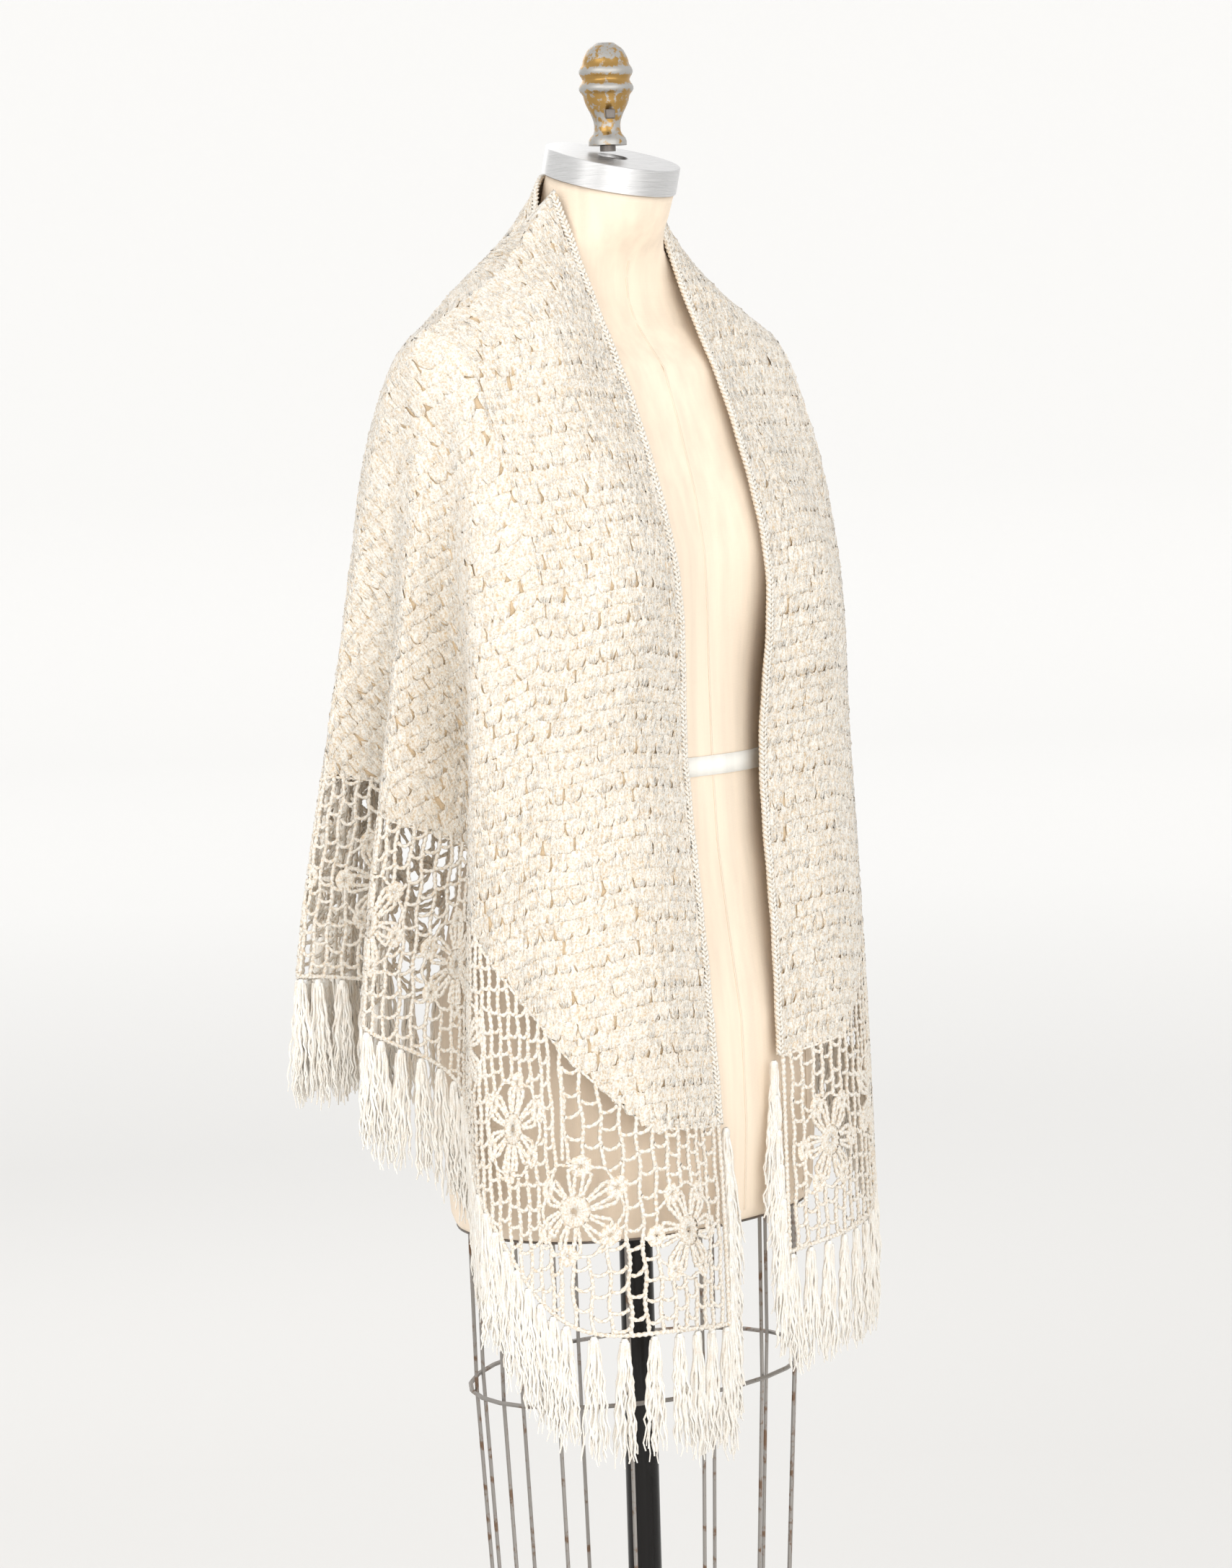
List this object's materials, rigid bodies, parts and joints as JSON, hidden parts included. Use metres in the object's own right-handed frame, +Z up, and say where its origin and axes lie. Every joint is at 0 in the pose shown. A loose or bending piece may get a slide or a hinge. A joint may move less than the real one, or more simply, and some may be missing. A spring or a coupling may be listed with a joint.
{
  "type": "lace shawl on dress form",
  "caption": "Crocheted lace shawl with a flowered border and tassel fringe, draped over the shoulders of a limbless dress form on a pole stand.",
  "frame": {"origin": "on the floor at the middle of the stand's base, under the pole", "axes": "+Z up, -Y the way the dress form faces, -X the form's own right side"},
  "size_m": [0.4954, 0.41, 1.6043],
  "materials": {
    "cream_crochet": "crocheted cotton yarn",
    "silk_fringe": "loose silky yarn",
    "canvas": "plain linen canvas",
    "cotton_tape": "cotton tape",
    "brown_board": "dark covered board",
    "brushed_aluminium": "turned and brushed",
    "worn_gold": "silver paint worn over gold",
    "steel": "plain steel",
    "rusty_wire": "dulled wire",
    "black_enamel": "gloss black"
  },
  "bodies": {
    "root": {"arm_plate_left": "brown_board", "arm_plate_right": "brown_board", "base": "black_enamel", "cage_foot_hoop": "rusty_wire", "cage_hoop": "rusty_wire", "cage_wire_01": "rusty_wire", "cage_wire_02": "rusty_wire", "cage_wire_03": "rusty_wire", "cage_wire_04": "rusty_wire", "cage_wire_05": "rusty_wire", "cage_wire_06": "rusty_wire", "cage_wire_07": "rusty_wire", "cage_wire_08": "rusty_wire", "cage_wire_09": "rusty_wire", "cage_wire_10": "rusty_wire", "cage_wire_11": "rusty_wire", "cage_wire_12": "rusty_wire", "cage_wire_13": "rusty_wire", "cage_wire_14": "rusty_wire", "finial": "worn_gold", "finial_stem": "steel", "front_fringe_left": "silk_fringe", "front_fringe_right": "silk_fringe", "hem_fringe_left": "silk_fringe", "hem_fringe_right": "silk_fringe", "lace_border_left": "cream_crochet", "lace_border_right": "cream_crochet", "neck_cap": "brushed_aluminium", "pole": "black_enamel", "set_screw": "steel", "shawl_body_left": "cream_crochet", "shawl_body_right": "cream_crochet", "shawl_edging_left": "cream_crochet", "shawl_edging_right": "cream_crochet", "torso": "canvas", "waist_tape": "cotton_tape"}
  },
  "joints": []
}
